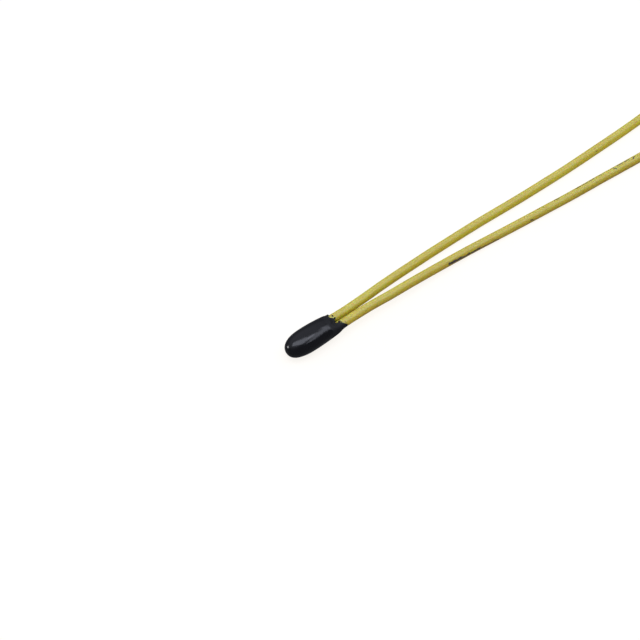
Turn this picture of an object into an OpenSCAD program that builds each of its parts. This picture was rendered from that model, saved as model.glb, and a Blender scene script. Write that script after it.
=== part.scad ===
// Bead thermistor: a sensing chip dipped in epoxy on two insulated leads, lying at rest.
// Millimetres. X runs from the bead's nose to the leads, Y to the left, Z up from the surface.

/* [Bead] */
// Length from the nose to the far edge of the mouth
bead_length = 6.15; // [5.6:0.05:7.5]
// Greatest width, across the two leads
bead_width = 2.4; // [2.1:0.05:3]
// Greatest thickness, square to the width
bead_height = 2.15; // [1.8:0.05:2.8]
// Length of the rounded nose, from its tip to the widest section
nose_length = 2.45; // [1.6:0.05:3]
// Fullness of the nose: 2 gives an ellipse, more gives a blunter end
nose_fullness = 2.5; // [2:0.05:3]
// Fullness of the tail: 1 gives a straight taper, more keeps it wide for longer
tail_fullness = 1.5; // [1.2:0.05:2.4]

/* [Mouth] */
// Thickness of the epoxy over the leads just before the lip
mouth_coat = 0.08; // [0.06:0.01:0.25]
// Depth of the dip between the two leads, where the epoxy bridges them
mouth_valley = 0.12; // [0:0.01:0.2]
// Length over which the lip rounds down towards the leads
lip_length = 0.15; // [0.1:0.05:0.5]
// How far the mouth's edge stands back on one side from its furthest point on the other side
mouth_slant = 0.88; // [0:0.02:1.2]
// Direction in which the edge stands back, in degrees from the left towards the top
slant_turn = 50; // [0:5:90]
// Distance from the bead's axis, in that direction, to the middle of the slant
slant_middle = -0.23; // [-0.5:0.01:0.5]
// Width over which the edge runs from its furthest point to where it stands back
slant_width = 0.74; // [0.4:0.02:1.5]

/* [Leads] */
// Outer diameter of the insulation
insulation_diameter = 0.84; // [0.6:0.02:1.1]
// Diameter of the solid conductor
conductor_diameter = 0.25; // [0.2:0.01:0.35]
// Least gap between the two insulated leads inside the bead
lead_gap = 0.12; // [0.05:0.01:0.4]
// Length of insulation held in the epoxy, from the far edge of the mouth
embedded_length = 2.4; // [1.8:0.05:2.7]
// Length of bare conductor at each free end
stripped_length = 5; // [3:0.5:8]

/* [Chip] */
// Side of the square chip
chip_side = 1; // [0.7:0.05:1.2]
// Thickness of the chip between its electrodes
chip_thickness = 0.56; // [0.4:0.02:0.8]
// Thickness of each silver electrode
electrode_thickness = 0.03; // [0.02:0.01:0.06]
// Distance from the tip of the nose to the chip
chip_setback = 1.1; // [0.8:0.05:1.4]

/* [Solder] */
// Least thickness of solder between an electrode and its conductor
solder_film = 0.04; // [0.02:0.01:0.1]
// How far the round of the solder would pass the electrode's face, which sets the fillet's width
solder_swell = 0.05; // [0.03:0.01:0.1]
// Length of each solder fillet between its rounded ends
solder_length = 0.5; // [0.3:0.05:0.6]

/* [Hidden] */
$fn = 48;

// Sides of the sweeps along the leads, rings of the bead's loft and points around each ring
lead_sides = 12;
nose_rings = 14;
tail_rings = 16;
lip_rings = 4;
ring_points = 48;
// Fullness of the bead's section at its widest and towards the mouth
belly_section = 2;
mouth_section = 3;
// Share of the tail after which the epoxy begins to follow the two leads one by one
hug_from = 0.7;
// Share of the mouth's coat that is left at the very edge of the lip
lip_edge = 0.5;
// Room between the conductor and the bore of its insulation
core_clearance = 0.01;
// The swept core stands this much proud of the round conductor that runs into both its ends
core_margin = 1.02;
core_overlap = 0.2;

// Colours of the pieces
epoxy_colour = [0.06, 0.06, 0.07];
insulation_colour = [0.75, 0.7, 0.3];
metal_colour = [0.78, 0.78, 0.8];
solder_colour = [0.62, 0.63, 0.65];
ceramic_colour = [0.2, 0.19, 0.19];

// Routes of the two leads, one point a row: distance along from the mouth, distance to the left of
// the exit's line, and height, where 1 is the bead's axis and 0 is lying on the surface
left_route = [
    [0, 0, 1], [1, 0.05, 1], [3, 0.19, 0.96], [5, 0.38, 0.86], [7, 0.54, 0.73], [9, 0.68, 0.57],
    [11, 0.82, 0.4], [13, 0.93, 0.24], [15, 1.02, 0.11], [17, 1.07, 0.03], [19, 1.06, 0],
    [21, 1.03, 0], [23, 1.03, 0], [25, 1.05, 0], [27, 1.08, 0], [29, 1.15, 0], [31, 1.24, 0],
    [33, 1.33, 0], [35, 1.44, 0], [37, 1.58, 0], [39, 1.72, 0], [40, 1.79, 0]
];
right_route = [
    [0, 0, 1], [1, 0.04, 1], [3, 0.06, 0.96], [5, 0.03, 0.86], [7, 0.05, 0.73], [9, 0.06, 0.57],
    [11, 0.05, 0.4], [13, 0.03, 0.24], [15, -0.03, 0.11], [17, -0.14, 0.03], [19, -0.27, 0],
    [21, -0.4, 0], [23, -0.52, 0], [25, -0.65, 0], [27, -0.74, 0], [29, -0.81, 0], [31, -0.91, 0],
    [33, -1, 0], [35, -1.09, 0], [37, -1.17, 0], [39, -1.25, 0], [40, -1.29, 0]
];

// Places and sizes that follow from the values above
axis_z = bead_height / 2;
nose_x = -bead_length / 2;
mouth_x = bead_length / 2;
widest_x = nose_x + nose_length;
insulation_radius = insulation_diameter / 2;
conductor_radius = conductor_diameter / 2;
stack_thickness = chip_thickness + 2 * electrode_thickness;
lead_pitch = max(insulation_diameter + lead_gap, stack_thickness + 2 * solder_film + conductor_diameter);
lead_y = lead_pitch / 2;
solder_radius = lead_y - stack_thickness / 2 + solder_swell;
chip_x = nose_x + chip_setback + chip_side / 2;
insulation_x = mouth_x - embedded_length;
wire_tip_x = chip_x - solder_length / 2;
core_radius = conductor_radius * core_margin / cos(180 / lead_sides);
bore_radius = core_radius + core_clearance / cos(180 / lead_sides);
left = 1;
right = -1;

// Points of a lead's centre line, from the end of its insulation inside the bead to its stripped end
function lead_points(hand, route) = concat(
    [[insulation_x, hand * lead_y, axis_z]],
    [for (p = route) [
        mouth_x + p[0],
        hand * lead_y + p[1],
        insulation_radius + p[2] * (axis_z - insulation_radius)
    ]]
);
left_points = lead_points(left, left_route);
right_points = lead_points(right, right_route);

function unit(v) = v / norm(v);

// Direction of a line of points at point i
function heading(points, i) =
    unit(points[min(i + 1, len(points) - 1)] - points[max(i - 1, 0)]);

// Ring of points around a centre line at point i
function lead_ring(points, i, radius) =
    let (
        along = heading(points, i),
        side = unit(cross([0, 0, 1], along)),
        up = cross(along, side)
    )
    [for (k = [0:lead_sides - 1])
        let (a = 360 * k / lead_sides)
        points[i] + radius * (cos(a) * side + sin(a) * up)];

// Points of all the rings along a lead
function lead_rings(points, radius) =
    [for (i = [0:len(points) - 1]) each lead_ring(points, i, radius)];

// Faces that join ring after ring of n points, seen from outside
function wall_faces(rings, n, first = 0) =
    [for (i = [0:rings - 2], k = [0:n - 1])
        let (a = first + i * n + k, b = first + i * n + (k + 1) % n)
        each [[a, a + n, b], [b, a + n, b + n]]];

// The same faces turned over, for the wall of a bore
function bore_faces(rings, n, first) =
    [for (f = wall_faces(rings, n, first)) [f[2], f[1], f[0]]];

// A flat ring that closes a tube between its wall and its bore, from ring points a and b on
function end_faces(n, a, b) =
    [for (k = [0:n - 1])
        let (m = (k + 1) % n)
        each [[a + k, a + m, b + k], [b + k, a + m, b + m]]];

// Solid rod swept along a lead
module lead_rod(points, radius) {
    count = len(points);
    polyhedron(
        lead_rings(points, radius),
        concat(
            wall_faces(count, lead_sides),
            [[for (k = [0:lead_sides - 1]) k]],
            [[for (k = [lead_sides - 1:-1:0]) (count - 1) * lead_sides + k]]
        )
    );
}

// Hollow tube swept along a lead
module lead_tube(points, outer, inner) {
    count = len(points);
    total = count * lead_sides;
    last = total - lead_sides;
    polyhedron(
        concat(lead_rings(points, outer), lead_rings(points, inner)),
        concat(
            wall_faces(count, lead_sides),
            bore_faces(count, lead_sides, total),
            end_faces(lead_sides, 0, total),
            end_faces(lead_sides, total + last, last)
        )
    );
}

// Smooth rise from 0 to 1
function soft_step(share) =
    let (t = min(1, max(0, share)))
    t * t * (3 - 2 * t);

// Half width and half height where the epoxy is as thick as coat over the leads
function hug_w(coat) = lead_y + insulation_radius + coat;
function hug_h(coat) = insulation_radius + coat;

// Point of an oval, seen from the bead's axis at an angle from the left
function oval_point(a, half_w, half_h, fullness) =
    let (
        wide = pow(abs(cos(a)) / half_w, fullness),
        tall = pow(abs(sin(a)) / half_h, fullness)
    )
    pow(wide + tall, -1 / fullness) * [cos(a), sin(a)];

// Point of a skin as thick as coat around both leads: round on their outer sides, with a dip between them
function hug_point(a, coat) =
    let (
        radius = hug_h(coat),
        between = radius * abs(cos(a)) < lead_y * abs(sin(a)),
        reach = between
            ? radius / abs(sin(a))
            : lead_y * abs(cos(a)) + sqrt(pow(radius, 2) - pow(lead_y * sin(a), 2)),
        y = reach * cos(a),
        dip = between ? mouth_valley * (1 + cos(180 * y / lead_y)) / 2 : 0
    )
    [y, reach * sin(a) - sign(sin(a)) * dip];

// How far the mouth's edge stands back at an angle from the left: a curve that steepens across the slant
function mouth_recess(a) =
    let (
        p = hug_point(a, mouth_coat),
        lean = p[0] * cos(slant_turn) + p[1] * sin(slant_turn),
        share = (lean - slant_middle) / slant_width + 0.5
    )
    mouth_slant * pow(min(1, max(0, share)), 2);

// One ring of the bead at a place along X: an oval that turns into a hug of both leads
// as hug goes from 0 to 1, and leans with the mouth by a share of its slant
function bead_ring(x, half_w, half_h, fullness, coat = mouth_coat, hug = 0, lean = 0) =
    [for (k = [0:ring_points - 1])
        let (
            a = 360 * k / ring_points,
            oval = oval_point(a, half_w, half_h, fullness),
            p = oval + hug * (hug_point(a, coat) - oval)
        )
        [x - lean * mouth_recess(a), p[0], axis_z + p[1]]];

function nose_ring(share) =
    let (
        a = 90 * share,
        reach = 1 - pow(cos(a), 2 / nose_fullness),
        swell = pow(sin(a), 2 / nose_fullness)
    )
    bead_ring(nose_x + nose_length * reach, swell * bead_width / 2, swell * bead_height / 2, belly_section);

function tail_ring(share) =
    let (
        drawn = pow(share, tail_fullness),
        length = mouth_x - lip_length - widest_x
    )
    bead_ring(
        widest_x + share * length,
        bead_width / 2 + drawn * (hug_w(mouth_coat) - bead_width / 2),
        bead_height / 2 + drawn * (hug_h(mouth_coat) - bead_height / 2),
        belly_section + drawn * (mouth_section - belly_section),
        hug = soft_step((share - hug_from) / (1 - hug_from)),
        lean = share * share
    );

function lip_ring(share) =
    let (
        a = 90 * share,
        coat = mouth_coat * (lip_edge + (1 - lip_edge) * cos(a))
    )
    bead_ring(mouth_x - lip_length + lip_length * sin(a), hug_w(coat), hug_h(coat), mouth_section,
              coat, hug = 1, lean = 1);

// Faces that close the mouth's ring, from points on its upper side to those below them
function mouth_faces(first, n) = concat(
    [[first + 1, first, first + n - 1], [first + n / 2, first + n / 2 - 1, first + n / 2 + 1]],
    [for (k = [1:n / 2 - 2])
        let (a = first + k, b = first + n - k)
        each [[a + 1, a, b], [a + 1, b, b - 1]]]
);

// The epoxy's outer skin, closed at the nose by a single point
module bead_skin() {
    count = nose_rings + tail_rings + lip_rings;
    rings = concat(
        [for (i = [1:nose_rings]) each nose_ring(i / nose_rings)],
        [for (i = [1:tail_rings]) each tail_ring(i / tail_rings)],
        [for (i = [1:lip_rings]) each lip_ring(i / lip_rings)]
    );
    tip = len(rings);
    polyhedron(
        concat(rings, [[nose_x, 0, axis_z]]),
        concat(
            wall_faces(count, ring_points),
            [for (k = [0:ring_points - 1]) [tip, k, (k + 1) % ring_points]],
            mouth_faces((count - 1) * ring_points, ring_points)
        )
    );
}

// Block placed by its middle on the chip's own centre
module chip_block(thickness, y = 0) {
    translate([chip_x, y, axis_z]) cube([chip_side, thickness, chip_side], center = true);
}

// Round wire between two places along X
module wire(hand, from, to, radius) {
    translate([from, hand * lead_y, axis_z])
        rotate([0, 90, 0])
            cylinder(r = radius, h = to - from);
}

// Outline of the solder before it is turned about its wire: straight, with round ends
function solder_outline() =
    let (half = solder_length / 2)
    concat(
        [for (a = [-90:15:0]) [solder_radius * cos(a), solder_radius * sin(a) - half]],
        [for (a = [0:15:90]) [solder_radius * cos(a), solder_radius * sin(a) + half]]
    );

// Solder before the wire is taken out of it: a rounded rod cut flat on the electrode's face
module solder_body(hand) {
    reach = 2 * solder_radius;
    intersection() {
        translate([chip_x, hand * lead_y, axis_z])
            rotate([0, 90, 0])
                rotate_extrude()
                    polygon(solder_outline());
        translate([chip_x, hand * (stack_thickness / 2 + reach), axis_z])
            cube([solder_length + 2 * reach, 2 * reach, 2 * reach], center = true);
    }
}

// Part of a conductor that is bare inside the bead, run on a little into the insulation
module inner_wire(hand) {
    wire(hand, wire_tip_x, insulation_x + core_overlap, conductor_radius);
}

module electrode(hand) {
    color(metal_colour)
        chip_block(electrode_thickness, hand * (chip_thickness + electrode_thickness) / 2);
}

module solder(hand) {
    color(solder_colour)
        difference() {
            solder_body(hand);
            inner_wire(hand);
        }
}

// Bare inside the bead, swept inside the insulation and bare again at the stripped end
module conductor(hand, points) {
    end = points[len(points) - 1];
    along = heading(points, len(points) - 1);
    color(metal_colour) {
        inner_wire(hand);
        lead_rod(points, core_radius);
        translate(end)
            rotate([0, 90, atan2(along[1], along[0])])
                translate([0, 0, -core_overlap])
                    cylinder(r = conductor_radius, h = stripped_length + core_overlap);
    }
}

module insulation(points) {
    color(insulation_colour) lead_tube(points, insulation_radius, bore_radius);
}

module epoxy_bead() {
    color(epoxy_colour)
        difference() {
            bead_skin();
            chip_block(stack_thickness);
            for (hand = [left, right]) {
                solder_body(hand);
                inner_wire(hand);
            }
            lead_rod(left_points, insulation_radius);
            lead_rod(right_points, insulation_radius);
        }
}

module thermistor_chip() {
    color(ceramic_colour) chip_block(chip_thickness);
}

epoxy_bead();
thermistor_chip();
electrode(left);  // electrode_left
electrode(right);  // electrode_right
solder(left);  // solder_left
solder(right);  // solder_right
conductor(left, left_points);  // conductor_left
conductor(right, right_points);  // conductor_right
insulation(left_points);  // insulation_left
insulation(right_points);  // insulation_right
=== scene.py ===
import math

import bpy
from mathutils import Matrix, Vector, noise


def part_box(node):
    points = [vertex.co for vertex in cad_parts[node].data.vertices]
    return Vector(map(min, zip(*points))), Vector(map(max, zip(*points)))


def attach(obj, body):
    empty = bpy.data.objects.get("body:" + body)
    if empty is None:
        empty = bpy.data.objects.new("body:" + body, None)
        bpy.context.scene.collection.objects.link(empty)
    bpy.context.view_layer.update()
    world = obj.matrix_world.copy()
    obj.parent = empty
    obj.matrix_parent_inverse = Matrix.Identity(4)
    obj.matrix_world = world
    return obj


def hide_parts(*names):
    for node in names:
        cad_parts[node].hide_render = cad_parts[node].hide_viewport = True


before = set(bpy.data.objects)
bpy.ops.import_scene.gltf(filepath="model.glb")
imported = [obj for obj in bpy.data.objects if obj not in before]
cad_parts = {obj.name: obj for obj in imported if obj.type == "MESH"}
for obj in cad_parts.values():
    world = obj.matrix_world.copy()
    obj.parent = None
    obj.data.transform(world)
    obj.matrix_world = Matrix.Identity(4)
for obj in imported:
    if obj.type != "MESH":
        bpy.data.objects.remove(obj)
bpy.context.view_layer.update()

# Bead thermistor: a glossy drop of black epoxy on two yellow leads that lie on a pale floor.
# Shapes are worked out in millimetres, in the part's own frame, and made in metres.

MM = 0.001

# Epoxy bead, with its solid's ends and axis and nearly its form. The hollows in its skin take some of its
# width away, so it starts wider by about as much
HOLLOW_ALLOWANCE = 0.014
bead_low, bead_high = [[value / MM for value in corner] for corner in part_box("epoxy_bead")]
NOSE_X = bead_low[0]
MOUTH_X = bead_high[0]
AXIS_Z = (bead_low[2] + bead_high[2]) / 2
BELLY_HALF_WIDTH = (bead_high[1] - bead_low[1]) / 2 + HOLLOW_ALLOWANCE
BELLY_HALF_HEIGHT = (bead_high[2] - bead_low[2]) / 2
NOSE_LENGTH = 2.45
# Fullness of the nose and of the sections, where 2 gives an ellipse, and of the tail, where 1 gives a
# straight taper
NOSE_FULLNESS = 2.5
BELLY_SECTION = 2.0
MOUTH_SECTION = 3.0
TAIL_FULLNESS = 1.5

# Leads
LEAD_RADIUS = 0.42
LEAD_Y = 0.48
WIRE_RADIUS = 0.125
BORE_RADIUS = 0.15
EMBEDDED_LENGTH = 2.4
# Just under the solid's, so that the ends of the wires stay inside its box
STRIPPED_LENGTH = 4.99
LEFT = 1
RIGHT = -1

# Routes of the two leads, within 0.04 mm of those in the part's source: distance along from the mouth,
# distance to the left of the exit's line, and height, where 1 is the bead's axis and 0 is lying on the floor
LEFT_ROUTE = [
    (0, 0, 1), (1, 0.02, 1), (3, 0.15, 0.96), (5, 0.34, 0.86), (7, 0.5, 0.73), (9, 0.64, 0.57),
    (11, 0.78, 0.4), (13, 0.89, 0.24), (15, 0.98, 0.11), (17, 1.03, 0.03), (19, 1.02, 0),
    (21, 0.99, 0), (23, 0.99, 0), (25, 1.01, 0), (27, 1.04, 0), (29, 1.11, 0), (31, 1.2, 0),
    (33, 1.29, 0), (35, 1.4, 0), (37, 1.55, 0), (39, 1.72, 0), (40, 1.79, 0),
]
RIGHT_ROUTE = [
    (0, 0, 1), (1, 0.02, 1), (3, 0.04, 0.96), (5, 0, 0.86), (7, 0.02, 0.73), (9, 0.03, 0.57),
    (11, 0.02, 0.4), (13, 0, 0.24), (15, -0.06, 0.11), (17, -0.17, 0.03), (19, -0.3, 0),
    (21, -0.43, 0), (23, -0.55, 0), (25, -0.68, 0), (27, -0.77, 0), (29, -0.84, 0), (31, -0.94, 0),
    (33, -1.03, 0), (35, -1.12, 0), (37, -1.19, 0), (39, -1.25, 0), (40, -1.29, 0),
]


# Shapes

def mix(a, b, share):
    return a + (b - a) * share


def straight_step(low, high, value):
    """0 below low, 1 above high, and a straight rise between them."""
    return min(1.0, max(0.0, (value - low) / (high - low)))


def soft_step(low, high, value):
    """0 below low, 1 above high, and a smooth rise between them."""
    share = straight_step(low, high, value)
    return share * share * (3 - 2 * share)


def ring_mesh(name, shells, material):
    """A piece made of closed shells, each a list of rings of points in mm, closed at both of its ends."""
    points = []
    faces = []
    for rings in shells:
        around = len(rings[0])
        start = len(points)
        points += [Vector(p) * MM for ring in rings for p in ring]
        for i in range(len(rings) - 1):
            for k in range(around):
                here = start + i * around
                there = here + around
                after = (k + 1) % around
                faces.append((here + k, here + after, there + after, there + k))
        for ring, turned in ((0, True), (len(rings) - 1, False)):
            first = start + ring * around
            points.append(sum(points[first:first + around], Vector()) / around)
            for k in range(around):
                edge = (first + k, first + (k + 1) % around)
                faces.append((*(reversed(edge) if turned else edge), len(points) - 1))
    mesh = bpy.data.meshes.new(name)
    mesh.from_pydata(points, [], faces)
    mesh.shade_smooth()
    mesh.materials.append(material)
    obj = bpy.data.objects.new(name, mesh)
    bpy.context.collection.objects.link(obj)
    return obj


def lead_line(hand, route):
    """Centre line of a lead in mm, from the end of its insulation inside the bead to its stripped end."""
    line = [Vector((MOUTH_X - EMBEDDED_LENGTH, hand * LEAD_Y, AXIS_Z))]
    for along, left, height in route:
        line.append(Vector((MOUTH_X + along, hand * LEAD_Y + left, mix(LEAD_RADIUS, AXIS_Z, height))))
    return line


def smooth_line(points, spacing):
    """Points about spacing apart on one smooth curve through points, no lower than a lead on the floor."""
    slopes = []
    for i in range(len(points)):
        before, after = points[max(i - 1, 0)], points[min(i + 1, len(points) - 1)]
        slopes.append((after - before).normalized())
    line = []
    for i in range(len(points) - 1):
        span = (points[i + 1] - points[i]).length
        count = max(2, round(span / spacing))
        for step in range(count):
            t = step / count
            line.append(
                points[i] * (2 * t**3 - 3 * t**2 + 1)
                + slopes[i] * span * (t**3 - 2 * t**2 + t)
                + points[i + 1] * (3 * t**2 - 2 * t**3)
                + slopes[i + 1] * span * (t**3 - t**2)
            )
    line.append(points[-1])
    return [Vector((p.x, p.y, max(p.z, LEAD_RADIUS))) for p in line]


def swept_ring(line, i, radius, around):
    """Ring about point i of a line, which starts at its underside and goes up on the line's left."""
    ahead = (line[min(i + 1, len(line) - 1)] - line[max(i - 1, 0)]).normalized()
    left = Vector((0, 0, 1)).cross(ahead).normalized()
    up = ahead.cross(left)
    ring = []
    for k in range(around):
        turn = math.pi + 2 * math.pi * k / around
        ring.append(line[i] + (up * math.cos(turn) - left * math.sin(turn)) * radius)
    return ring


def lengths_along(line):
    """Distance of each point of a line from its first one."""
    total = [0.0]
    for a, b in zip(line, line[1:]):
        total.append(total[-1] + (b - a).length)
    return total


# Materials

# Noise mostly stays between these two values
NOISE_LOW = 0.3
NOISE_HIGH = 0.7


class Shade:
    """One procedural material, whose nodes are added by short calls."""

    def __init__(self, name):
        self.material = bpy.data.materials.new(name)
        self.material.use_nodes = True
        self.tree = self.material.node_tree
        self.bsdf = self.tree.nodes["Principled BSDF"]

    def add(self, kind, inputs=(), **settings):
        node = self.tree.nodes.new(kind)
        for key, value in settings.items():
            setattr(node, key, value)
        for key, value in dict(inputs).items():
            self.feed(node.inputs[key], value)
        return node

    def feed(self, socket, value):
        if isinstance(value, bpy.types.NodeSocket):
            self.tree.links.new(value, socket)
        else:
            socket.default_value = value

    def math(self, operation, *values, clamp=False):
        node = self.add("ShaderNodeMath", operation=operation, use_clamp=clamp)
        for socket, value in zip(node.inputs, values):
            self.feed(socket, value)
        return node.outputs[0]

    def vector(self, operation, *values):
        node = self.add("ShaderNodeVectorMath", operation=operation)
        for socket, value in zip(node.inputs, values):
            self.feed(socket, value)
        return node.outputs["Value" if operation in ("DOT_PRODUCT", "LENGTH") else "Vector"]

    def place(self):
        """Position on the object, in metres."""
        return self.add("ShaderNodeTexCoord").outputs["Object"]

    def attribute(self, name):
        """A number that is written on the mesh."""
        return self.add("ShaderNodeAttribute", attribute_name=name).outputs["Fac"]

    def noise(self, size, detail=2.0, stretch=None):
        """Noise from 0 to 1 whose features are about size mm across."""
        place = self.place()
        if stretch:
            place = self.add("ShaderNodeMapping", {"Vector": place, "Scale": stretch}).outputs[0]
        node = self.add("ShaderNodeTexNoise", {"Vector": place, "Scale": 1 / (size * MM), "Detail": detail})
        return node.outputs["Fac"]

    def ramp(self, value, low, high, to_low=0.0, to_high=1.0):
        """A straight way from to_low, where value is low, to to_high, where it is high."""
        node = self.add(
            "ShaderNodeMapRange",
            {"Value": value, "From Min": low, "From Max": high, "To Min": to_low, "To Max": to_high},
        )
        return node.outputs[0]

    def spread(self, value, to_low, to_high):
        """Noise, spread from to_low to to_high."""
        return self.ramp(value, NOISE_LOW, NOISE_HIGH, to_low, to_high)

    def blend(self, share, a, b):
        """Colour a, with a share of colour b. The node's colours are its inputs 6 and 7 and its output 2."""
        node = self.add("ShaderNodeMix", data_type="RGBA")
        self.feed(node.inputs["Factor"], share)
        self.feed(node.inputs[6], a)
        self.feed(node.inputs[7], b)
        return node.outputs[2]

    def bump(self, height, depth):
        """Relief of depth mm from a height of 0 to 1."""
        node = self.add("ShaderNodeBump", {"Strength": 1.0, "Distance": depth * MM, "Height": height})
        self.feed(self.bsdf.inputs["Normal"], node.outputs[0])

    def set(self, **values):
        """Sets the shader's own inputs, by their names in small letters."""
        for key, value in values.items():
            self.feed(self.bsdf.inputs[key.replace("_", " ").title().replace("Ior", "IOR")], value)


def colour(red, green, blue):
    """Linear colour from the screen's 0 to 255."""
    parts = []
    for value in (red, green, blue):
        share = value / 255
        parts.append(share / 12.92 if share < 0.04045 else ((share + 0.055) / 1.055) ** 2.4)
    return (*parts, 1.0)


# The thin coat near the mouth dried duller and more uneven than the drop: between which x each of them
# grows, how far these lines wander, how much rougher the coat gets and how many times deeper its relief
DULL_SPAN = (1.1 * MM, 1.4 * MM)
UNEVEN_SPAN = (1.5 * MM, 2.0 * MM)
COAT_WANDER = 0.25 * MM
COAT_DULLNESS = 0.5
COAT_RELIEF = 4.0
# Height of the epoxy's fine grain, as a share of its ripples'
GRAIN_SHARE = 0.25


def epoxy_material():
    shade = Shade("epoxy")
    cloud = shade.noise(size=0.9, detail=3)
    grain = shade.noise(size=0.12)
    ripple = shade.noise(size=0.4)
    along = shade.add("ShaderNodeSeparateXYZ", {0: shade.place()}).outputs["X"]
    along = shade.math("ADD", along, shade.spread(cloud, -COAT_WANDER, COAT_WANDER))
    dull = shade.ramp(along, *DULL_SPAN, 0.0, COAT_DULLNESS)
    uneven = shade.ramp(along, *UNEVEN_SPAN, 1.0, COAT_RELIEF)
    shade.set(
        base_color=shade.blend(cloud, colour(8, 8, 10), colour(16, 16, 19)),
        roughness=shade.math("ADD", shade.spread(cloud, 0.12, 0.2), dull),
        ior=1.45,
    )
    relief = shade.math("MULTIPLY_ADD", grain, GRAIN_SHARE, ripple)
    shade.bump(shade.math("MULTIPLY", relief, uneven), depth=0.006)
    return shade.material


# Marks on the leads, dirt and one painted shadow line: from and to, each as distance along from the mouth in
# mm and degrees from the top to the right, then half width in mm and how much it hides
RIGHT_STAINS_AND_EDGE_SHADE = [
    # A dark line just beyond the mouth's edge: painted shade where the epoxy meets the lead
    ((-0.22, 22), (-0.1, 66), 0.045, 0.45),
    ((11.6, 68), (13.0, 76), 0.13, 0.98),
    ((13.0, 80), (15.1, 82), 0.1, 0.92),
    ((15.0, 84), (16.7, 88), 0.07, 0.6),
    ((12.0, 100), (17.1, 108), 0.12, 0.3),
    ((16.8, 82), (17.3, 104), 0.05, 0.8),
    ((20.85, 66), (21.1, 82), 0.09, 0.75),
]
RIGHT_FLECKS = [
    ((22.0, -22), (22.15, -20), 0.045, 0.8),
    ((23.85, -22), (24.45, -22), 0.045, 0.9),
    ((26.35, -24), (26.85, -24), 0.05, 0.9),
    ((27.05, -20), (27.75, -22), 0.04, 0.8),
    ((27.95, -22), (28.45, -22), 0.05, 0.9),
    ((29.0, -22), (29.4, -20), 0.045, 0.8),
    ((30.7, -20), (30.85, 14), 0.065, 0.98),
    ((31.2, -20), (31.8, -22), 0.045, 0.9),
    ((32.0, -20), (32.5, -20), 0.05, 0.9),
    ((32.85, 12), (33.15, -18), 0.06, 0.95),
]
LEFT_FLECKS = [
    ((30.95, 53), (31.1, 57), 0.06, 0.65),
    ((30.8, 84), (30.95, 92), 0.035, 0.6),
]
# Colour of the stains, and of the painted shadow line at the mouth
STAIN_AND_EDGE_SHADE_COLOUR = colour(46, 38, 40)
FLECK_COLOUR = colour(40, 36, 18)
# A mark's edge, in shares of its half width: how far it wanders, and where it begins to fade and is gone
EDGE_WANDER = 0.6
FADE_FROM = 0.5
FADE_TO = 1.4
# Painted shade, darkening the insulation away from an unshaded side up on the left, and more on the
# underside: turn of the unshaded side from the top, the degrees from it between which both kinds grow, and
# how much the underside's hides
UNSHADED_TURN = -40
SHADE_SPAN = (50, 140)
UNDERSIDE_SPAN = (100, 140)
UNDERSIDE_SHADE = 0.25
# Way around a lead's surface, in mm for each degree
ARC_PER_DEGREE = math.radians(LEAD_RADIUS)


def insulation_material(name, shade_depth, marked):
    """Yellow insulation with painted shade away from its upper left and on its underside, and with marks,
    which are lists of strokes and their colours.
    """
    shade = Shade(name)
    broad = shade.noise(size=2.5, detail=3)
    fine = shade.noise(size=0.16, detail=3)
    tint = shade.blend(shade.ramp(broad, 0.35, 0.65), colour(189, 175, 37), colour(193, 182, 46))
    tint = shade.blend(shade.ramp(fine, 0.45, 0.75, 0.0, 0.35), tint, colour(178, 157, 36))
    along, turn = shade.attribute("along"), shade.attribute("turn")
    from_unshaded = shade.math("ABSOLUTE", shade.math("SUBTRACT", turn, UNSHADED_TURN))
    painted_shade = shade.math(
        "ADD",
        shade.ramp(from_unshaded, *SHADE_SPAN, 0.0, shade_depth),
        shade.ramp(from_unshaded, *UNDERSIDE_SPAN, 0.0, UNDERSIDE_SHADE),
    )
    # Painted shade: the underside and the side away from the upper left are darkened towards this brown
    tint = shade.blend(painted_shade, tint, colour(124, 88, 4))
    around = shade.math("MULTIPLY", turn, ARC_PER_DEGREE)
    place = shade.add("ShaderNodeCombineXYZ", {"X": along, "Y": around}).outputs[0]
    for strokes, tone in marked:
        tint = shade.blend(marks(shade, place, strokes, fine), tint, tone)
    shade.set(
        base_color=tint,
        roughness=shade.spread(fine, 0.38, 0.5),
        specular_ior_level=1.0,
        subsurface_weight=0.85,
        subsurface_radius=(1.0, 0.6, 0.08),
        subsurface_scale=0.5 * MM,
    )
    drawn_lines = shade.noise(size=0.1, stretch=(0.04, 1, 1))
    shade.bump(drawn_lines, depth=0.006)
    return shade.material


def marks(shade, place, strokes, uneven):
    """How much of a lead's surface is covered by strokes with uneven edges, from 0 to 1."""
    cover = 0.0
    for start, end, half_width, strength in strokes:
        first, last = [Vector((along, turn * ARC_PER_DEGREE, 0)) for along, turn in (start, end)]
        stroke = last - first
        offset = shade.vector("SUBTRACT", place, first)
        passed = shade.vector("DOT_PRODUCT", offset, stroke)
        share = shade.math("DIVIDE", passed, stroke.length_squared, clamp=True)
        nearest = shade.add("ShaderNodeVectorMath", {0: stroke, "Scale": share}, operation="SCALE").outputs[0]
        gap = shade.vector("LENGTH", shade.vector("SUBTRACT", offset, nearest))
        wander = half_width * EDGE_WANDER
        gap = shade.math("ADD", gap, shade.spread(uneven, -wander, wander))
        hidden = shade.ramp(gap, half_width * FADE_TO, half_width * FADE_FROM, 0.0, strength)
        cover = shade.math("MAXIMUM", cover, hidden)
    return cover


def metal_material(name, light, dark, grain, rough, rougher=0.15):
    """Plated metal with clouds about grain mm across, up to rougher above its least roughness."""
    shade = Shade(name)
    cloud = shade.noise(size=grain, detail=3)
    shade.set(
        base_color=shade.blend(cloud, dark, light),
        metallic=1.0,
        roughness=shade.spread(cloud, rough, rough + rougher),
    )
    shade.bump(shade.noise(size=grain / 4), depth=0.003)
    return shade.material


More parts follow.
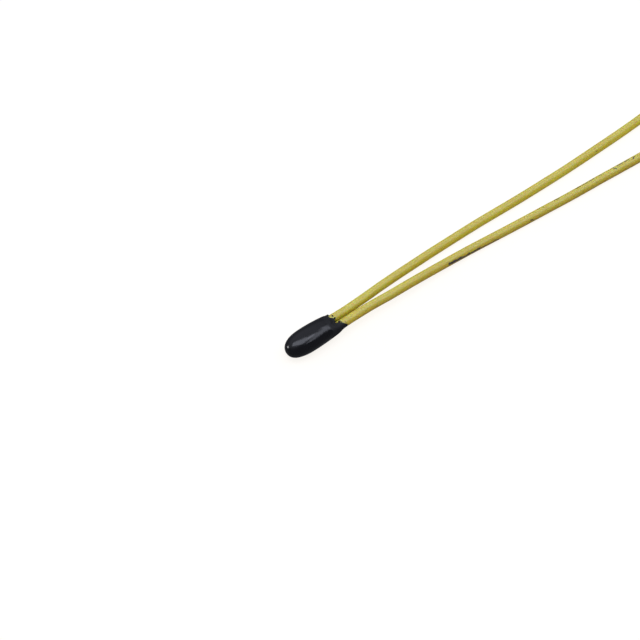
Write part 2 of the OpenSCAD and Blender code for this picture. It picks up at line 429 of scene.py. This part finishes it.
def chip_material():
    shade = Shade("chip")
    grain = shade.noise(size=0.06, detail=4)
    shade.set(
        base_color=shade.blend(grain, colour(38, 36, 35), colour(74, 70, 68)),
        roughness=shade.spread(grain, 0.7, 0.9),
    )
    shade.bump(grain, depth=0.008)
    return shade.material


# Epoxy bead

BEAD_AROUND = 144
NOSE_RINGS = 40
TAIL_RINGS = 110
# How far the nose sags to the right and down, in mm
NOSE_SAG = Vector((0, -0.05, -0.05))
# Soft hollows in the skin: waves of noise per mm each way, their shift along x, and depth in mm
HOLLOWS = [
    (Vector((0.8, 0.9, 0.9)), 0, 0.025),
    (Vector((2.3, 2.3, 2.3)), 7, 0.00625),
]
# Share of their depth that the hollows lose on the way to the mouth
HOLLOWS_LOST = 0.8
# Shares of the tail's length between which the epoxy begins to follow the two leads one by one
HUG_SPAN = (0.72, 0.97)
# How softly the epoxy bridges the valley between the leads, in mm
BRIDGE = 0.18
# The skin is searched for out to this distance from the axis, by so many halvings
SEARCH_REACH = 3.0
SEARCH_HALVINGS = 40
# Coat of epoxy on the leads: on the outline by which the mouth is measured, and the thinnest and thickest one
MOUTH_COAT = 0.08
THIN_COAT = 0.02
THICK_COAT = 0.1
# How far the rim of the thick coat stands out, and over which length the lip then rounds down to the leads
RIM = 0.04
LIP_LENGTH = 0.14
# How far the very edge of the mouth goes into the leads' surface, in mm
SUNK_EDGE = 0.02
# The mouth's edge reaches furthest on its lower right, where the coat is thinnest. From there it slants
# back to a step at its top. On the left lead it has a short tongue, a notch beside it and a second tongue on
# the far side, which has a share of the first one's length
MOUTH_SLANT = 0.8
TOP_STEP = 0.18
LEFT_TONGUE = 0.22
LEFT_NOTCH = 0.04
FAR_TONGUE_SHARE = 0.7
# Direction of the slant from the left towards the top, and the distances from the axis that way, in mm,
# between which each of these comes in, or the tongue ends
SLANT_TURN = math.radians(50)
SLANT_SPAN = (-0.6, 0.19)
STEP_SPAN = (-0.07, 0.16)
TONGUE_SPAN = (0.2, 0.3)
TONGUE_END_SPAN = (0.4, 0.6)
NOTCH_SPAN = (0.5, 0.66)
COAT_SPAN = (-0.5, 0.6)
RIM_SPAN = (0.1, 0.8)
# Distances to the left of the axis between which the second tongue comes in
FAR_TONGUE_SPAN = (0.7, 0.85)
# Ragged waves along the edge: how many, their place in the noise, and depth in mm
RAGGED_WAVES = [(2.6, 4, 0.04), (6, 9, 0.024)]
# Drops of epoxy that dried on the leads in front of the mouth: lead, turn from its top, x and radius
DROPS = [
    (LEFT, 0, 2.38, 0.085),
    (LEFT, 42, 2.41, 0.09),
    (RIGHT, -9, 2.45, 0.12),
    (RIGHT, 14, 2.58, 0.05),
    (LEFT, -50, 2.5, 0.04),
]
DROP_RINGS = 8
DROP_AROUND = 16
# How deep a drop's middle lies in the lead, in mm, then its height and width in radii and how much its
# width changes
DROP_SUNK = 0.01
DROP_HEIGHT = 0.5
DROP_WIDTH = 1.1
DROP_UNEVEN = 0.5
# Way through the noise for each mm along, so that no two drops have the same outline
DROP_VARIETY = 20


def oval_reach(turn, half_width, half_height, fullness):
    """Distance from the bead's axis to a rounded oval, at an angle from the left."""
    wide = (abs(math.cos(turn)) / half_width) ** fullness
    tall = (abs(math.sin(turn)) / half_height) ** fullness
    return (wide + tall) ** (-1 / fullness)


def hug_reach(turn, coat):
    """Distance from the bead's axis to a skin that lies coat thick on both leads and bridges them."""
    near, far = 0.0, SEARCH_REACH
    for _ in range(SEARCH_HALVINGS):
        reach = (near + far) / 2
        y, z = reach * math.cos(turn), reach * math.sin(turn)
        depths = [math.hypot(y - hand * LEAD_Y, z) - LEAD_RADIUS for hand in (LEFT, RIGHT)]
        gap = -BRIDGE * math.log(sum(math.exp(-depth / BRIDGE) for depth in depths))
        near, far = (reach, far) if gap < coat else (near, reach)
    return reach


def hollow(x, y, z):
    """Depth of the dried epoxy's soft hollows at a point, in mm."""
    total = 0.0
    for waves, shift, depth in HOLLOWS:
        place = Vector((x * waves.x + shift, y * waves.y, z * waves.z))
        total += depth * (0.5 + 0.5 * noise.noise(place))
    return total


def mouth_edge(turn):
    """How far the mouth's edge stands back from its furthest point, its coat there and how far its rim
    stands out from the coat, at an angle from the left."""
    reach = hug_reach(turn, MOUTH_COAT)
    lean = reach * math.cos(turn - SLANT_TURN)
    far = soft_step(*FAR_TONGUE_SPAN, reach * math.cos(turn))
    tongue = soft_step(*TONGUE_SPAN, lean) * (1 - soft_step(*TONGUE_END_SPAN, lean))
    notch = soft_step(*NOTCH_SPAN, lean) * (1 - far)
    stands_back = MOUTH_SLANT * straight_step(*SLANT_SPAN, lean) + TOP_STEP * soft_step(*STEP_SPAN, lean)
    stands_back += LEFT_NOTCH * notch - LEFT_TONGUE * (tongue + FAR_TONGUE_SHARE * far)
    for waves, seed, depth in RAGGED_WAVES:
        stands_back += depth * noise.noise(Vector((math.cos(turn) * waves, math.sin(turn) * waves, seed)))
    coat = mix(THIN_COAT, THICK_COAT, soft_step(*COAT_SPAN, lean))
    return max(0.0, stands_back), coat, RIM * soft_step(*RIM_SPAN, lean)


def bead_rings():
    turns = [2 * math.pi * k / BEAD_AROUND for k in range(BEAD_AROUND)]
    edges = [mouth_edge(turn) for turn in turns]
    widest_x = NOSE_X + NOSE_LENGTH
    tail_length = MOUTH_X - widest_x
    rings = []

    def add_ring(places, hollowed):
        ring = []
        for turn, (x, reach) in zip(turns, places):
            y, z = reach * math.cos(turn), reach * math.sin(turn)
            reach -= hollow(x, y, z) * hollowed * min(1.0, reach / BELLY_HALF_HEIGHT)
            point = Vector((x, reach * math.cos(turn), AXIS_Z + reach * math.sin(turn)))
            sag = max(0.0, (widest_x - x) / NOSE_LENGTH) ** 2
            ring.append(point + NOSE_SAG * sag)
        rings.append(ring)

    for i in range(1, NOSE_RINGS + 1):
        angle = math.pi / 2 * i / NOSE_RINGS
        x = NOSE_X + NOSE_LENGTH * (1 - math.cos(angle) ** (2 / NOSE_FULLNESS))
        swell = math.sin(angle) ** (2 / NOSE_FULLNESS)
        add_ring([
            (x, swell * oval_reach(turn, BELLY_HALF_WIDTH, BELLY_HALF_HEIGHT, BELLY_SECTION))
            for turn in turns
        ], 1.0)
    for i in range(1, TAIL_RINGS + 1):
        share = i / TAIL_RINGS
        drawn = share**TAIL_FULLNESS
        section = mix(BELLY_SECTION, MOUTH_SECTION, drawn)
        hug = soft_step(*HUG_SPAN, share)
        to_edge = (1 - share) * tail_length / LIP_LENGTH
        lip = math.sqrt(1 - max(0.0, 1 - to_edge) ** 2)
        places = []
        for turn, (back, coat, rim) in zip(turns, edges):
            half_width = mix(BELLY_HALF_WIDTH, LEAD_Y + LEAD_RADIUS + coat, drawn)
            half_height = mix(BELLY_HALF_HEIGHT, LEAD_RADIUS + coat, drawn)
            oval = oval_reach(turn, half_width, half_height, section)
            skin = hug_reach(turn, mix(-SUNK_EDGE, coat + rim, lip))
            places.append((widest_x + share * tail_length - share**2 * back, mix(oval, skin, hug)))
        add_ring(places, 1 - HOLLOWS_LOST * share)
    return rings


def drop_rings(hand, turn, x, radius):
    """A flat drop with an uneven edge on a straight lead's surface."""
    angle = math.radians(turn)
    out = Vector((0, -math.sin(angle), math.cos(angle)))
    side = Vector((0, -out.z, out.y))
    foot = Vector((x, hand * LEAD_Y, AXIS_Z)) + out * (LEAD_RADIUS - DROP_SUNK)
    rings = []
    for i in range(1, DROP_RINGS):
        slope = math.pi * i / DROP_RINGS
        ring = []
        for k in range(DROP_AROUND):
            around = 2 * math.pi * k / DROP_AROUND
            edge = noise.noise(Vector((math.cos(around) + x * DROP_VARIETY, math.sin(around) + turn, 0)))
            wide = radius * math.sin(slope) * (DROP_WIDTH + DROP_UNEVEN * edge)
            flat = Vector((math.cos(around), 0, 0)) + side * math.sin(around)
            ring.append(foot - out * math.cos(slope) * radius * DROP_HEIGHT + flat * wide)
        rings.append(ring)
    return rings


bead_shells = [bead_rings()] + [drop_rings(*drop) for drop in DROPS]
bead = ring_mesh("bead", bead_shells, epoxy_material())
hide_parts("epoxy_bead")
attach(bead, "root")


# Leads: each is insulation along its route, and a wire along the same route that shows at its stripped end

LEAD_AROUND = 32
WIRE_AROUND = 20
RING_SPACING = 0.12
# The insulation's radius changes along it: waves per mm, and the share of the radius that it loses at most
RADIUS_WAVES = 0.35
RADIUS_LOSS = 0.012
# The insulation's cut end, in mm: length and width of its rounded edge, the radius lost where that begins,
# and how far its bore goes in
CUT_ROUNDING = 0.04
CUT_LOSS = 0.003
BORE_DEPTH = 0.6
# Distance from the nose to the inner ends of the wires, and the shares of a bare end at which it has rings
WIRE_SETBACK = 1.35
BARE_SHARES = (0.25, 0.5, 0.75, 0.95, 1)


def insulation_piece(name, line, material):
    along = lengths_along(line)
    rings = []
    for i in range(len(line)):
        # The name's length sets the two leads apart in the noise
        uneven = 0.5 + 0.5 * noise.noise(Vector((along[i] * RADIUS_WAVES, len(name), 0)))
        rings.append(swept_ring(line, i, LEAD_RADIUS * (1 - RADIUS_LOSS * uneven), LEAD_AROUND))
    # The cut end: a rounded edge, a flat ring and a short way into the bore
    ahead = (line[-1] - line[-2]).normalized()
    end = [line[-2], line[-1]]
    edge = [p - ahead * CUT_ROUNDING for p in end]
    inside = [p - ahead * BORE_DEPTH for p in end]
    rings[-1] = swept_ring(edge, 1, LEAD_RADIUS - CUT_LOSS, LEAD_AROUND)
    rings.append(swept_ring(end, 1, LEAD_RADIUS - CUT_ROUNDING, LEAD_AROUND))
    rings.append(swept_ring(end, 1, BORE_RADIUS, LEAD_AROUND))
    rings.append(swept_ring(inside, 1, BORE_RADIUS, LEAD_AROUND))
    piece = ring_mesh(name, [rings], material)
    mark_places(piece.data, rings, along)
    return piece


def mark_places(mesh, rings, along):
    """Writes on each corner how far along the free lead it is, in mm, and its degrees from the top."""
    around = len(rings[0])
    along_values = mesh.attributes.new("along", "FLOAT", "CORNER")
    turn_values = mesh.attributes.new("turn", "FLOAT", "CORNER")
    for polygon in mesh.polygons:
        seam = {mesh.loops[i].vertex_index % around for i in polygon.loop_indices} >= {0, around - 1}
        for i in polygon.loop_indices:
            ring, k = divmod(mesh.loops[i].vertex_index, around)
            along_values.data[i].value = along[min(ring, len(along) - 1)] - EMBEDDED_LENGTH
            turn_values.data[i].value = 360 * (around if seam and k == 0 else k) / around - 180


def wire_piece(name, line, hand, material):
    ahead = (line[-1] - line[-2]).normalized()
    inner = [Vector((NOSE_X + WIRE_SETBACK, hand * LEAD_Y, AXIS_Z))]
    bare = [line[-1] + ahead * STRIPPED_LENGTH * share for share in BARE_SHARES]
    path = inner + line + bare
    rings = [swept_ring(path, i, WIRE_RADIUS, WIRE_AROUND) for i in range(len(path))]
    return ring_mesh(name, [rings], material)


wire_material = metal_material("wire", colour(232, 230, 226), colour(196, 192, 186), grain=0.4, rough=0.22)
# Insulation with painted shade, much deeper on the right lead, and with marks
insulation = {
    LEFT: insulation_material("insulation_left", 0.06, [(LEFT_FLECKS, FLECK_COLOUR)]),
    RIGHT: insulation_material(
        "insulation_right", 0.48, [(RIGHT_STAINS_AND_EDGE_SHADE, STAIN_AND_EDGE_SHADE_COLOUR), (RIGHT_FLECKS, FLECK_COLOUR)]
    ),
}

for side, hand, route in (("left", LEFT, LEFT_ROUTE), ("right", RIGHT, RIGHT_ROUTE)):
    line = smooth_line(lead_line(hand, route), RING_SPACING)
    tube = insulation_piece(f"lead_{side}", line, insulation[hand])
    wire = wire_piece(f"wire_{side}", line, hand, wire_material)
    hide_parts(f"insulation_{side}")
    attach(tube, "root")
    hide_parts(f"conductor_{side}")
    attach(wire, "root")

# Pieces sealed in the epoxy keep their solids
silver = metal_material("electrode", colour(225, 224, 222), colour(190, 188, 185), grain=0.2, rough=0.4)
solder = metal_material("solder", colour(190, 191, 194), colour(150, 151, 155), grain=0.25, rough=0.3)
inner_materials = {
    "thermistor_chip": chip_material(),
    "electrode_left": silver,
    "electrode_right": silver,
    "solder_left": solder,
    "solder_right": solder,
}
for node, material in inner_materials.items():
    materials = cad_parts[node].data.materials
    materials.clear()
    materials.append(material)


# Floor, light and camera, in metres

FLOOR_HALF = 3.0
LIGHT_DISTANCE = 0.5
COOL = (0.92, 0.96, 1.12)
# The room is palest at its top, and turns dark between two cosines of the angle from there
ROOM_TOP = (0, 0.35, 0.94)
ROOM_SPAN = (0.4, 0.95)
ROOM_DARK = 0.15
ROOM_PALE = 0.63
# The photograph's camera, by its angles, its distance, its frame's width there and the point it looks at
AZIMUTH = math.radians(-38.5)
ELEVATION = math.radians(50)
DISTANCE = 0.3
FRAME_WIDTH = 0.056
AIM = Vector((0.001339, 0.0009053, 0.001294))


def floor_piece():
    mesh = bpy.data.meshes.new("floor")
    corners = [(x * FLOOR_HALF, y * FLOOR_HALF, 0) for x, y in ((-1, -1), (1, -1), (1, 1), (-1, 1))]
    mesh.from_pydata(corners, [], [(0, 1, 2, 3)])
    shade = Shade("floor")
    shade.set(
        base_color=(0.15, 0.15, 0.15, 1),
        roughness=0.9,
        emission_color=(1, 0.97, 0.92, 1),
        emission_strength=0.9,
    )
    mesh.materials.append(shade.material)
    obj = bpy.data.objects.new("floor", mesh)
    bpy.context.collection.objects.link(obj)
    obj.visible_glossy = False
    return obj


def soft_light(name, start, end, width, radiance, tint=(1, 1, 1)):
    """A soft panel from one direction of the bead to another, as bright as radiance all over."""
    start, end = Vector(start).normalized(), Vector(end).normalized()
    length = 2 * LIGHT_DISTANCE * math.tan(start.angle(end) / 2)
    light = bpy.data.lights.new(name, "AREA")
    light.shape = "RECTANGLE"
    light.size, light.size_y = length, width
    light.energy = radiance * math.pi * length * width
    light.color = tint
    obj = bpy.data.objects.new(name, light)
    bpy.context.collection.objects.link(obj)
    away = (start + end).normalized()
    along = (end - start).normalized()
    turn = Matrix((along, away.cross(along), away)).transposed().to_4x4()
    obj.matrix_world = Matrix.Translation(Vector((0, 0, AXIS_Z * MM)) + away * LIGHT_DISTANCE) @ turn
    obj.visible_camera = False
    return obj


def keep_off(light, *pieces):
    """Stops a light from falling on some pieces."""
    group = bpy.data.collections.new(f"{light.name}_keeps_off")
    for piece in pieces:
        group.objects.link(piece)
    for member in group.collection_objects:
        member.light_linking.link_state = "EXCLUDE"
    light.light_linking.receiver_collection = group


def room_world():
    """Pale light from above and behind, with a dark room in front and below."""
    world = bpy.data.worlds.new("room")
    world.use_nodes = True
    nodes, links = world.node_tree.nodes, world.node_tree.links
    direction = nodes.new("ShaderNodeTexCoord").outputs["Generated"]
    rise = nodes.new("ShaderNodeVectorMath")
    rise.operation = "DOT_PRODUCT"
    rise.inputs[1].default_value = ROOM_TOP
    links.new(direction, rise.inputs[0])
    fade = nodes.new("ShaderNodeMapRange")
    fade.interpolation_type = "SMOOTHSTEP"
    fade.inputs["From Min"].default_value, fade.inputs["From Max"].default_value = ROOM_SPAN
    fade.inputs["To Min"].default_value = ROOM_DARK
    fade.inputs["To Max"].default_value = ROOM_PALE
    links.new(rise.outputs["Value"], fade.inputs["Value"])
    links.new(fade.outputs[0], nodes["Background"].inputs["Strength"])
    nodes["Background"].inputs["Color"].default_value = (*COOL, 1)
    return world


def photo_camera():
    camera = bpy.data.cameras.new("camera")
    camera.sensor_width = 36
    camera.lens = camera.sensor_width * DISTANCE / FRAME_WIDTH
    camera.clip_start = 0.005
    obj = bpy.data.objects.new("camera", camera)
    bpy.context.collection.objects.link(obj)
    away = Vector((
        math.sin(AZIMUTH) * math.cos(ELEVATION),
        -math.cos(AZIMUTH) * math.cos(ELEVATION),
        math.sin(ELEVATION),
    ))
    turn = (-away).to_track_quat("-Z", "Y").to_matrix().to_4x4()
    obj.matrix_world = Matrix.Translation(AIM + away * DISTANCE) @ turn
    return obj


floor = floor_piece()
soft_light("overhead", (-0.45, 0.345, 0.82), (0.28, -0.4, 0.87), width=0.27, radiance=2.5, tint=COOL)
soft_light("front", (0.26, -0.73, 0.63), (0.69, 0.21, 0.69), width=0.1, radiance=2.1, tint=COOL)
soft_light("fill", (0.29, -0.46, 0.84), (0.46, -0.1, 0.88), width=0.1, radiance=1.5, tint=COOL)
soft_light("side", (-0.71, 0.67, 0.06), (-0.68, 0.64, 0.36), width=0.15, radiance=8.0)
lead_lights = [
    soft_light("back", (0.23, 0.75, 0.62), (0.55, 0.54, 0.64), width=0.12, radiance=4.0, tint=COOL),
    soft_light("low", (-0.6, -0.76, 0.25), (-0.08, -0.97, 0.25), width=0.2, radiance=2.3),
]
for light in lead_lights:
    keep_off(light, bead, floor)

bpy.context.scene.world = room_world()
bpy.context.scene.view_settings.view_transform = "Standard"
bpy.context.scene.camera = photo_camera()
